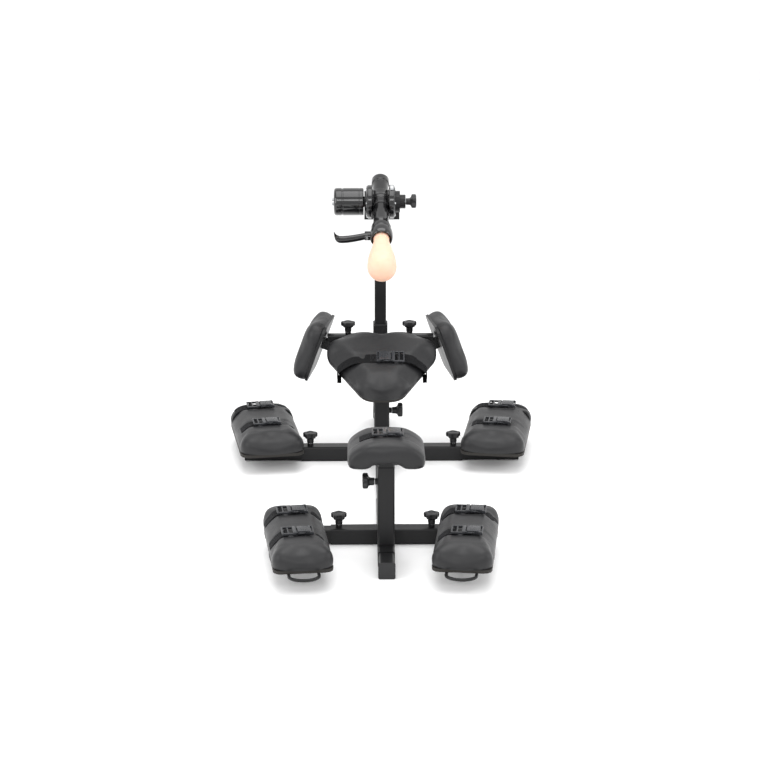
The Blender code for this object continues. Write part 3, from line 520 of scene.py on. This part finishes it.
def dress_cushion(node, body, place, straps=(), fill=4.0, cap=0.010, creases=(),
                  shrink=0.004, wrap=0.0):
    """One leather cushion from its CAD block: swollen, pressed by its straps, creased."""
    obj = remeshed(frame["nodes"][node], shrink, place)
    relax(obj.data, 4)
    swell(obj, fill, cap)
    relax(obj.data, 12)
    top = max(v.co.z for v in obj.data.vertices)
    base = min(v.co.z for v in obj.data.vertices)
    for v in obj.data.vertices:
        height = (v.co.z - base) / (top - base)
        if height < 0.30:
            v.co.z -= wrap * (1 - height / 0.30)
        share = max(0.0, min(1.0, (height - 0.25) / 0.5))
        v.co.z -= share * pressed(v.co, straps, 0.0022)
        for middle, bow, depth, half in creases:
            line = middle + bow * (v.co.x / half) ** 2
            away = (v.co.y - line) / 0.007
            v.co.z -= share * depth * math.exp(-away * away) * max(0.0, 1 - (v.co.x / half) ** 2)
        ripple = noise.noise(v.co * 22) * 0.0005 + noise.noise(v.co * 60) * 0.00012
        v.co.z += share * ripple
    obj.data.transform(place)
    finer = obj.modifiers.new("finer", "SUBSURF")
    finer.levels = 1
    finer.render_levels = 1
    mesh = bpy.data.meshes.new_from_object(obj.evaluated_get(bpy.context.evaluated_depsgraph_get()))
    obj.modifiers.clear()
    obj.data = mesh
    obj.name = node + "_leather"
    mesh.name = obj.name
    for face in mesh.polygons:
        face.use_smooth = True
    mesh.materials.clear()
    mesh.materials.append(MATERIALS["leather"])
    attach(obj, body)
    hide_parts(node)
    return obj


# ---------------------------------------------------------------- straps and buckles

def silhouette(obj, place, middle, low, start, end, count):
    """Points of a taut strap round a cushion's cross-section, in the cushion's own axes."""
    into = place.inverted()
    points = []
    for v in obj.data.vertices:
        here = into @ v.co
        if abs(here.y - middle) < STRAP * 0.45:
            points.append((here.x, here.z))
    tilted = []
    for k in range(count):
        angle = math.radians(start + (end - start) * k / (count - 1))
        way = (math.cos(angle), math.sin(angle))
        tilted.append((way, max(x * way[0] + z * way[1] for x, z in points)))
    outline = []
    for (a, reach_a), (b, reach_b) in zip(tilted, tilted[1:]):
        cross = a[0] * b[1] - a[1] * b[0]
        outline.append(((reach_a * b[1] - reach_b * a[1]) / cross,
                        (a[0] * reach_b - b[0] * reach_a) / cross))
    outline = [p for p in outline if p[1] > low]
    first, last = outline[0], outline[-1]
    return [(first[0], low)] + outline + [(last[0], low)]


def even(path, step):
    """The same path in steps of about the same length."""
    result = [path[0]]
    for a, b in zip(path, path[1:]):
        gap = math.dist(a, b)
        pieces = max(1, round(gap / step))
        for k in range(1, pieces + 1):
            result.append(tuple(a[i] + (b[i] - a[i]) * k / pieces for i in range(len(a))))
    return result


def band(name, path, across, width, body):
    """Flat webbing laid along a path of points; across is its width's direction at each point."""
    bm = bmesh.new()
    uv = bm.loops.layers.uv.new("UVMap")
    rings, runs = [], [0.0]
    for a, b in zip(path, path[1:]):
        runs.append(runs[-1] + (b - a).length)
    for i, point in enumerate(path):
        ahead = (path[min(i + 1, len(path) - 1)] - path[max(i - 1, 0)]).normalized()
        out = across.cross(ahead).normalized()
        ring = []
        for k, edge in BAND_TOP:
            ring.append((point + across * k * width / 2 + out * (BAND_LIFT + STRAP_THICK * edge), k))
        for k in BAND_UNDERSIDE:
            ring.append((point + across * k * width / 2 + out * BAND_LIFT, k))
        rings.append(ring)
    made = [[bm.verts.new(p) for p, _ in ring] for ring in rings]
    count = len(rings[0])
    for i in range(len(rings) - 1):
        for j in range(count):
            k = (j + 1) % count
            face = bm.faces.new((made[i][j], made[i][k], made[i + 1][k], made[i + 1][j]))
            spots = ((i, j), (i, k), (i + 1, k), (i + 1, j))
            for loop, (row, column) in zip(face.loops, spots):
                loop[uv].uv = (runs[row], rings[row][column][1] * width / 2)
    bm.faces.new(list(reversed(made[0])))
    bm.faces.new(made[-1])
    return piece(name, bm, MATERIALS["webbing"], body, (), 50)


def buckle(name, place, body, flip):
    """Side-release buckle along local X: ladder-lock end, prongs, socket with side windows."""
    bm = bmesh.new()
    at = place @ Matrix.Diagonal((flip, 1, 1, 1))
    high = 0.0105
    # socket
    for side in (-1, 1):
        rail = [(0.002, 0.022), (0.008, 0.0215), (0.018, 0.021), (0.028, 0.0235), (0.036, 0.028),
                (0.044, 0.028)]
        for (xa, ya), (xb, yb) in zip(rail, rail[1:]):
            low = (xa - 0.0004, min(side * ya, side * (ya - 0.0065)), 0.0012)
            soft_block(bm, low, (xb + 0.0004, max(side * ya, side * (ya - 0.0065)), high), at, 0.0016)
    soft_block(bm, (0.000, -0.0225, 0.0085), (0.036, 0.0225, high + 0.0012), at, 0.0022)
    soft_block(bm, (0.000, -0.0225, 0.0008), (0.036, 0.0225, 0.0030), at, 0.0010)
    soft_block(bm, (0.034, -0.0275, 0.0008), (0.0395, 0.0275, high), at, 0.0022)
    soft_block(bm, (0.0425, -0.0285, 0.0012), (0.0465, 0.0285, 0.0080), at, 0.0020)
    for k in range(3):
        x = 0.010 + 0.006 * k
        soft_block(bm, (x, -0.012, high), (x + 0.0025, 0.012, high + 0.0019), at, 0.0008)
    # prongs in the windows
    for side in (-1, 1):
        arc = [(-0.008, 0.019), (0.002, 0.0245), (0.010, 0.0268), (0.017, 0.0262), (0.022, 0.0222)]
        for (xa, ya), (xb, yb) in zip(arc, arc[1:]):
            ends = [at @ Vector((x, side * y, 0.0055)) for x, y in ((xa, ya - 0.003), (xb, yb - 0.003))]
            tube_along(bm, ends, 0.0030, 12)
        y = side * 0.0205
        soft_block(bm, (-0.0015, y - 0.0045, 0.0025), (0.0035, y + 0.0045, 0.0085), at, 0.0012)
    # ladder-lock end
    soft_block(bm, (-0.014, -0.0275, 0.0015), (-0.002, 0.0275, high), at, 0.0030)
    for side in (-1, 1):
        y = side * 0.0262
        soft_block(bm, (-0.044, y - 0.0030, 0.0015), (-0.008, y + 0.0030, 0.0085), at, 0.0022)
    for x, up in ((-0.0300, 0.0078), (-0.0455, 0.0086)):
        soft_block(bm, (x, -0.0275, 0.0018), (x + 0.0048, 0.0275, up), at, 0.0018)
    for k in range(6):
        y = -0.019 + 0.0076 * k
        soft_block(bm, (-0.0452, y - 0.0014, 0.0078), (-0.0412, y + 0.0014, 0.0088), at, 0.0005)
    piece(name, bm, BUCKLE_PLASTIC, body, (), 35)


def stitches(name, place, spots, body):
    """Short raised threads along a box-and-cross seam where webbing is sewn down."""
    bm = bmesh.new()
    for a, b in spots:
        a, b = Vector(a), Vector(b)
        count = max(2, round((b - a).length / 0.004))
        for k in range(count):
            start = a.lerp(b, (k + 0.15) / count)
            end = a.lerp(b, (k + 0.80) / count)
            middle = (start + end) / 2 + Vector((0, 0, 0.00035))
            tube_along(bm, [place @ start, place @ middle, place @ end], 0.00035, 6)
    piece(name, bm, THREAD, body, (), 60)


def strap_round(node, obj, place, middle, body, low, buckle_x, flip, number, wrap):
    """One strap over a cushion with its buckle, double layer at the ladder lock and sewn end."""
    outline = silhouette(obj, place, middle, low, -20, 200, 56)
    flat = even(outline, 0.006)
    flat = [(flat[0][0] - wrap, low - 0.001)] + flat + [(flat[-1][0] + wrap, low - 0.001)]
    path = [place @ Vector((x, middle, z)) for x, z in flat]
    across = (place.to_3x3() @ Vector((0, 1, 0))).normalized()
    label = "%s_webbing_%d" % (node, number)
    strip = band(label, path, -across, STRAP, body)
    tops = [(x, z) for x, z in flat if abs(x - buckle_x) < 0.012]
    top = max(z for _, z in tops) + 0.0012
    lie = place @ Matrix.Translation((buckle_x, middle, top))
    buckle("%s_buckle_%d" % (node, number), lie, body, flip)
    near = buckle_x - flip * 0.036
    reach = [p for p in flat if 0 < flip * (near - p[0]) < 0.052]
    reach.sort(key=lambda p: -flip * (near - p[0]))
    fold = [place @ Vector((x, middle, z + 0.0024)) for x, z in reach if z > low + 0.03]
    if len(fold) > 3:
        fold.append(place @ Vector((near + flip * 0.006, middle, top + 0.0085)))
        fold = fold if flip > 0 else list(reversed(fold))
        band(label + "_fold", fold, across, STRAP - 0.002, body)
    sewn = buckle_x + flip * 0.058
    tall = max([z for x, z in flat if abs(x - sewn) < 0.010] or [top]) + STRAP_THICK + 0.0008
    corners = [(sewn + a * 0.008, middle + b * 0.019, tall)
               for a, b in ((-1, -1), (1, -1), (1, 1), (-1, 1))]
    box = [(corners[a], corners[b]) for a, b in ((0, 1), (1, 2), (2, 3), (3, 0), (0, 2), (1, 3))]
    if abs(sewn) < max(x for x, _ in flat) - 0.035:
        stitches(label + "_seam", place, box, body)
    return strip


# ---------------------------------------------------------------- rests

def limb_rest(where, side, size, middle_y, yaw, straps):
    """Cushion of a forearm or shin rest with its two straps."""
    sign = -1 if side == "left" else 1
    pivot = JOINTS["%s_%s_swivel" % (where, side)]["pos_m"]
    at = (pivot[0] + sign * (middle_y - pivot[1]) * math.tan(yaw), middle_y, pivot[2] + BOARD_TOP)
    lie = local_place(at, -sign * yaw)
    body = "%s_pad_%s" % (where, side)
    node = "%s_cushion_%s" % (where, side)
    half = size[0] / 2
    nose = -size[1] / 2 + (0.046 if where == "front" else 0.052)
    creases = ((nose, 0.030, 0.0008, half * 0.92), (size[1] / 2 - 0.050, -0.028, 0.0005, half * 0.9))
    pad = dress_cushion(node, body, lie, straps, creases=creases, wrap=0.0096)
    for number, middle in enumerate(straps):
        strap_round(node, pad, lie, middle, body, STRAP_FOOT, sign * 0.006, 1,
                                  number + 1, 0.018)
    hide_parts("%s_straps_%s" % (where, side))


def chest_rest():
    """Flat cushion on the chest post with one strap."""
    low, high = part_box("chest_pad")
    lie = local_place(((low.x + high.x) / 2, (low.y + high.y) / 2, low.z), 0.0)
    pad = dress_cushion("chest_pad", "chest_post", lie, (0.0,), cap=0.007, fill=3.0)
    strip = strap_round("chest_pad", pad, lie, 0.0, "chest_post", 0.001, 0.004, 1, 1, 0.030)
    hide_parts("chest_strap")


def hip_rest():
    """Tilted cushion on the hip post, its buckle turned the other way."""
    lie = local_place(HIP_MIDDLE, 0.0, HIP_TILT)
    pad = dress_cushion("hip_pad", "hip_post", lie, (HIP_STRAP_Y,), cap=0.012,
                        wrap=0.0116, creases=((0.118, -0.020, 0.0006, 0.17),))
    strip = strap_round("hip_pad", pad, lie, HIP_STRAP_Y, "hip_post", -0.0135, 0.028, -1, 1, 0.014)
    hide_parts("hip_strap")


def side_rest(side):
    """Leaning side cushion; it has no strap."""
    sign = -1 if side == "left" else 1
    turn = Matrix.Rotation(sign * PAD_YAW_REAR, 4, "Z")
    turn = turn @ Matrix.Rotation(sign * (math.pi / 2 - WING_TILT), 4, "Y")
    lie = Matrix.Translation((SIDE_PAD_X[side], SIDE_PAD_Y, SIDE_PAD_Z)) @ turn
    dress_cushion("wing_pad_" + side, "wing_" + side, lie, cap=0.008, shrink=0.003,
                  wrap=0.0082)


def rests():
    for side in ("left", "right"):
        limb_rest("front", side, FRONT_PAD, FRONT_PAD_Y, PAD_YAW_FRONT, FRONT_STRAPS)
        limb_rest("rear", side, REAR_PAD, REAR_PAD_Y, PAD_YAW_REAR, REAR_STRAPS)
        side_rest(side)
    chest_rest()
    hip_rest()


# ---------------------------------------------------------------- knobs

def knob_mesh():
    """Five-lobed clamping knob along +Z, its seat at z = 0."""
    bm = bmesh.new()
    profile = [(0.0105, 0.0012), (0.0112, 0.0030), (0.0116, 0.0130), (0.0128, 0.0165),
               (0.0185, 0.0190), (0.0238, 0.0208), (0.0250, 0.0228), (0.0252, 0.0300),
               (0.0248, 0.0330), (0.0232, 0.0350), (0.0195, 0.0362), (0.0140, 0.0366),
               (0.0128, 0.0362), (0.0122, 0.0352), (0.0116, 0.0350), (0.0060, 0.0350),
               (0.0010, 0.0351)]

    def wave(z):
        return 0.150 * max(0.0, min(1.0, (z - 0.0165) / 0.004)) * (1.0 if z < 0.0345 else 0.5)

    lathe(bm, profile, Matrix.Identity(4), 120, KNOB_LOBES, wave)
    for k in range(KNOB_LOBES):
        angle = 2 * math.pi * k / KNOB_LOBES
        rib = [Vector((r * math.cos(angle), r * math.sin(angle), z))
               for r, z in ((0.0095, 0.012), (0.0135, 0.0195), (0.020, 0.0225))]
        tube_along(bm, rib, [0.0014, 0.0017, 0.0010], 8)
    return finished_mesh("knob", bm, MATERIALS["knob_plastic"], 42)


def knobs():
    """Each star knob shares one mesh; a steel stud and washer ride with it."""
    shared = knob_mesh()
    washer = [(0.0040, -0.009), (0.0040, 0.0002), (0.0092, 0.0003), (0.0092, 0.0012), (0.0040, 0.0014)]
    for name in sorted(frame["nodes"]):
        if "_knob" not in name:
            continue
        joint = JOINTS[name + "_turn"]
        lie = pointing(Vector(joint["pos_m"]), Vector(joint["axis"]), 0.35)
        obj = add_object(name + "_star", shared)
        obj.matrix_world = lie
        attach(obj, name)
        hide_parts(name)
        bm = bmesh.new()
        lathe(bm, washer, lie, 40)
        piece(name + "_stud", bm, MATERIALS["bare_steel"], name, (), 30)


# ---------------------------------------------------------------- stroke head

HEAD_AT = Vector(JOINTS["head_tilt"]["pos_m"])
HEAD_PLACE = Matrix.Translation(HEAD_AT) @ Matrix.Rotation(HEAD_PITCH, 4, "X")
ALONG_X = Matrix.Rotation(math.pi / 2, 4, "Y")
ALONG_BARREL = Matrix.Rotation(math.pi / 2, 4, "X")


def turned(name, profile, turn, nodes=(), radius=0.002):
    """A glossy turned piece of the head."""
    bm = bmesh.new()
    lathe(bm, fillet(profile, radius), HEAD_PLACE @ turn)
    piece(name, bm, MATERIALS["gloss_black"], "head", nodes, 34)


def on_head(x, radius, angle):
    """A point round the head's X axis."""
    return HEAD_PLACE @ Vector((x, radius * math.cos(angle), radius * math.sin(angle)))


def head_way(direction):
    return (HEAD_PLACE.to_3x3() @ Vector(direction)).normalized()


def drive():
    """Housing with its flanges, cover ring and bolts."""
    turned("housing_shell",
           [(0.0001, -0.0485), (0.0540, -0.0485), (0.0550, -0.0440), (0.057, -0.0430),
            (0.057, -0.0300), (0.0480, -0.0285), (0.0400, -0.0270), (0.0360, -0.0230),
            (0.0001, -0.0229)], ALONG_X, ("drive_housing",))
    turned("housing_lid",
           [(0.0001, 0.0284), (0.0560, 0.0285), (0.057, 0.0300), (0.057, 0.0440),
            (0.0545, 0.0455), (0.0520, 0.0455), (0.0505, 0.0484), (0.0001, 0.0485)],
           ALONG_X, ("housing_cover",), 0.0015)
    turned("housing_neck",
           [(0.0001, 0.0229), (0.0360, 0.0230), (0.0400, 0.0270), (0.0480, 0.0280),
            (0.0001, 0.0282)], ALONG_X)
    ring = [(0.0001, -0.0380), (0.0290, -0.0380), (0.0305, -0.0360), (0.0305, -0.0120),
            (0.0335, -0.0100), (0.0345, -0.0060), (0.0345, 0.0060), (0.0335, 0.0100),
            (0.0305, 0.0120), (0.0305, 0.0360), (0.0290, 0.0380), (0.0001, 0.0380)]
    turned("housing_ring", ring, ALONG_BARREL, (), 0.0015)
    bm = bmesh.new()
    for k in range(12):
        angle = 2 * math.pi * k / 12 + 0.26
        spot = HEAD_PLACE @ Vector((0.0343 * math.cos(angle), 0, 0.0343 * math.sin(angle)))
        lathe(bm, [(0.0030, -0.001), (0.0030, 0.0004), (0.0024, 0.0012), (0.0008, 0.0015)],
              pointing(spot, head_way((math.cos(angle), 0, math.sin(angle)))), 16)
    piece("housing_rivets", bm, MATERIALS["gloss_black"], "head", (), 40)
    bm = bmesh.new()
    for side in (-1, 1):
        for k in range(6):
            angle = 2 * math.pi * (k + 0.5) / 6
            lathe(bm, [(0.0030, -0.001), (0.0030, 0.0016), (0.0026, 0.0020), (0.0014, 0.0020),
                       (0.0014, 0.0009), (0.0002, 0.0009)],
                  pointing(on_head(side * 0.0485, 0.0500, angle), head_way((side, 0, 0))), 20)
    piece("housing_screws", bm, MATERIALS["bare_steel"], "head", (), 34)
    bm = bmesh.new()
    # Pale grey block on the housing's top edge: a painted highlight, standing in for the light patch on
    # the glossy housing.
    soft_block(bm, (0.032, -0.010, 0.0555), (0.043, 0.006, 0.0640), HEAD_PLACE, 0.0015)
    piece("housing_painted_highlight_block", bm, NUB, "head", (), 34)


def motor():
    """Motor can with its grooves and two brush caps at the end."""
    can = [(0.0001, -0.1590), (0.0120, -0.1590), (0.0380, -0.1588), (0.0445, -0.1560),
           (0.0470, -0.1500), (0.0470, -0.1325), (0.0455, -0.1320), (0.0455, -0.1275),
           (0.0470, -0.1270), (0.0470, -0.0742), (0.0462, -0.0738), (0.0462, -0.0724),
           (0.0470, -0.0720), (0.0470, -0.0605), (0.0440, -0.0579), (0.018, -0.0578),
           (0.018, -0.0490), (0.0001, -0.0490)]
    turned("motor_can", can, ALONG_X, ("motor",), 0.0016)
    bm = bmesh.new()
    for angle in (-0.9, 2.24):
        lathe(bm, [(0.0052, -0.001), (0.0052, 0.0060), (0.0044, 0.0070), (0.0020, 0.0072),
                   (0.0002, 0.0070)],
              pointing(on_head(-0.1585, 0.030, angle), head_way((-1, 0, 0))), 28)
    piece("motor_brush_caps", bm, NUB, "head", (), 34)


def barrel():
    """Barrel with its rear ring, and the clamp collar with its ears."""
    tube = [(0.0001, -0.120), (0.029, -0.120), (0.030, -0.118), (0.030, -0.096),
            (0.027, -0.0945), (0.027, 0.118), (0.0285, 0.128), (0.0315, 0.139),
            (0.0340, 0.146), (0.0340, 0.1650), (0.0001, 0.1652)]
    turned("barrel_tube", tube, ALONG_BARREL, ("barrel",), 0.003)
    ring = [(0.0270, -0.0900), (0.0278, -0.0895), (0.0278, -0.0850), (0.0270, -0.0845)]
    turned("barrel_rear_ring", ring, ALONG_BARREL, (), 0.0004)
    collar = [(0.0115, 0.1656), (0.0320, 0.1656), (0.0372, 0.1690), (0.0386, 0.1790),
              (0.0386, 0.1960), (0.0370, 0.2060), (0.0340, 0.2095), (0.0310, 0.2080),
              (0.0300, 0.2040), (0.0298, 0.1720), (0.0115, 0.1712)]
    turned("collar_ring", collar, ALONG_BARREL, ("clamp_collar",), 0.003)
    bm = bmesh.new()
    for low, high in ((-0.2026, -0.1981), (-0.1771, -0.1726)):
        soft_block(bm, (-0.0555, low, -0.0085), (-0.0330, high, 0.0085), HEAD_PLACE, 0.0020)
    piece("collar_ears", bm, MATERIALS["gloss_black"], "head", (), 34)


def lever():
    """Curved cast lever with a rounded tip and a pin through its hub."""
    stations = [(0.016, 0.003, 0.0085), (0.002, 0.000, 0.0105), (-0.012, -0.0035, 0.0112),
                (-0.028, -0.0075, 0.0116), (-0.046, -0.0115, 0.0120), (-0.064, -0.0145, 0.0122),
                (-0.080, -0.0160, 0.0122), (-0.092, -0.0155, 0.0120), (-0.1005, -0.0110, 0.0115),
                (-0.1060, -0.0030, 0.0100), (-0.1090, 0.0070, 0.0070), (-0.1105, 0.0140, 0.0028)]
    bm = bmesh.new()
    rings = []
    for x, z, half in stations:
        ring = []
        for k in range(28):
            angle = 2 * math.pi * k / 28
            wide = 0.0085 if half > 0.005 else half * 1.6
            a = abs(math.cos(angle)) ** 0.62 * math.copysign(1, math.cos(angle)) * min(0.0085, wide)
            b = abs(math.sin(angle)) ** 0.62 * math.copysign(1, math.sin(angle)) * half
            ring.append(HEAD_PLACE @ Vector((LEVER_AT[0] + x, LEVER_AT[1] + a, z + b)))
        rings.append(ring)
    loft(bm, rings)
    hub = [(0.0001, -0.0096), (0.0078, -0.0096), (0.0085, -0.0088), (0.0085, 0.0088),
           (0.0078, 0.0096), (0.0001, 0.0096)]
    lathe(bm, hub, HEAD_PLACE @ Matrix.Translation(LEVER_AT) @ ALONG_BARREL, 40)
    piece("lever_arm", bm, MATERIALS["gloss_black"], "clamp_lever", ("clamp_lever",), 50)
    bm = bmesh.new()
    pin = [(0.0001, -0.0168), (0.0042, -0.0168), (0.0046, -0.0160), (0.0046, 0.0160),
           (0.0042, 0.0168), (0.0001, 0.0168)]
    lathe(bm, pin, HEAD_PLACE @ Matrix.Translation(LEVER_AT) @ ALONG_BARREL, 32)
    piece("lever_pin", bm, MATERIALS["bare_steel"], "clamp_lever", (), 34)


def blank():
    """Plain smooth rounded silicone piece on the thrust rod."""
    low, high = BLANK_ENDS
    start, end = low + 0.024, high - BLANK_RADIUS
    profile = [(0.0001, low), (0.0240, low), (0.0262, low + 0.004), (0.0262, low + 0.012),
               (BLANK_NECK, low + 0.020)]
    for k in range(25):
        ease = math.sin(math.pi / 2 * k / 24) ** 1.3
        profile.append((BLANK_NECK + (BLANK_RADIUS - BLANK_NECK) * ease,
                        start + (end - start) * k / 24))
    for k in range(1, 16):
        angle = math.pi / 2 * k / 15.5
        profile.append((BLANK_RADIUS * math.cos(angle), end + BLANK_RADIUS * math.sin(angle)))
    bm = bmesh.new()
    lathe(bm, profile, HEAD_PLACE @ ALONG_BARREL, 96)
    piece("silicone_blank", bm, MATERIALS["silicone"], "thrust_rod", ("attachment",), 60)


# ---------------------------------------------------------------- studio

def studio():
    """White floor, bright world and four soft lamps."""
    floor_mesh = bpy.data.meshes.new("floor")
    floor_mesh.from_pydata([(-9, -12, 0), (9, -12, 0), (9, 9, 0), (-9, 9, 0)], [], [(0, 1, 2, 3)])
    floor = add_object("floor", floor_mesh)
    floor.location.z = CAD_LOW.z - 0.0002
    mat, tree, shader = new_material("floor", (0.95, 0.95, 0.95), 0.6, shine=0.2)
    spots = noise_node(tree, object_coords(tree), 3, 3)
    tint(tree, shader, spots, (0.945, 0.945, 0.947), (0.965, 0.965, 0.965))
    floor.data.materials.append(mat)

    world = bpy.data.worlds.new("studio")
    world.use_nodes = True
    world.node_tree.nodes["Background"].inputs["Color"].default_value = (1, 1, 1, 1)
    world.node_tree.nodes["Background"].inputs["Strength"].default_value = WORLD_LIGHT
    bpy.context.scene.world = world
    bpy.context.scene.view_settings.view_transform = "Standard"

    for name, at, to, wide, high, power in LIGHTS:
        light = bpy.data.lights.new(name, "AREA")
        light.shape = "RECTANGLE"
        light.size = wide
        light.size_y = high
        light.energy = power
        obj = add_object(name, light)
        obj.location = at
        obj.rotation_euler = (Vector(to) - Vector(at)).to_track_quat("-Z", "Y").to_euler()


def camera():
    """The photo's camera, as solved from the tube widths."""
    data = bpy.data.cameras.new("camera")
    data.lens = CAMERA_LENS
    data.sensor_width = 36
    data.clip_end = 60
    obj = add_object("camera", data)
    obj.location = CAMERA_AT
    obj.rotation_euler = CAMERA_TURN
    bpy.context.scene.camera = obj


paint_cad()
rests()
knobs()
drive()
motor()
barrel()
lever()
blank()
studio()
camera()
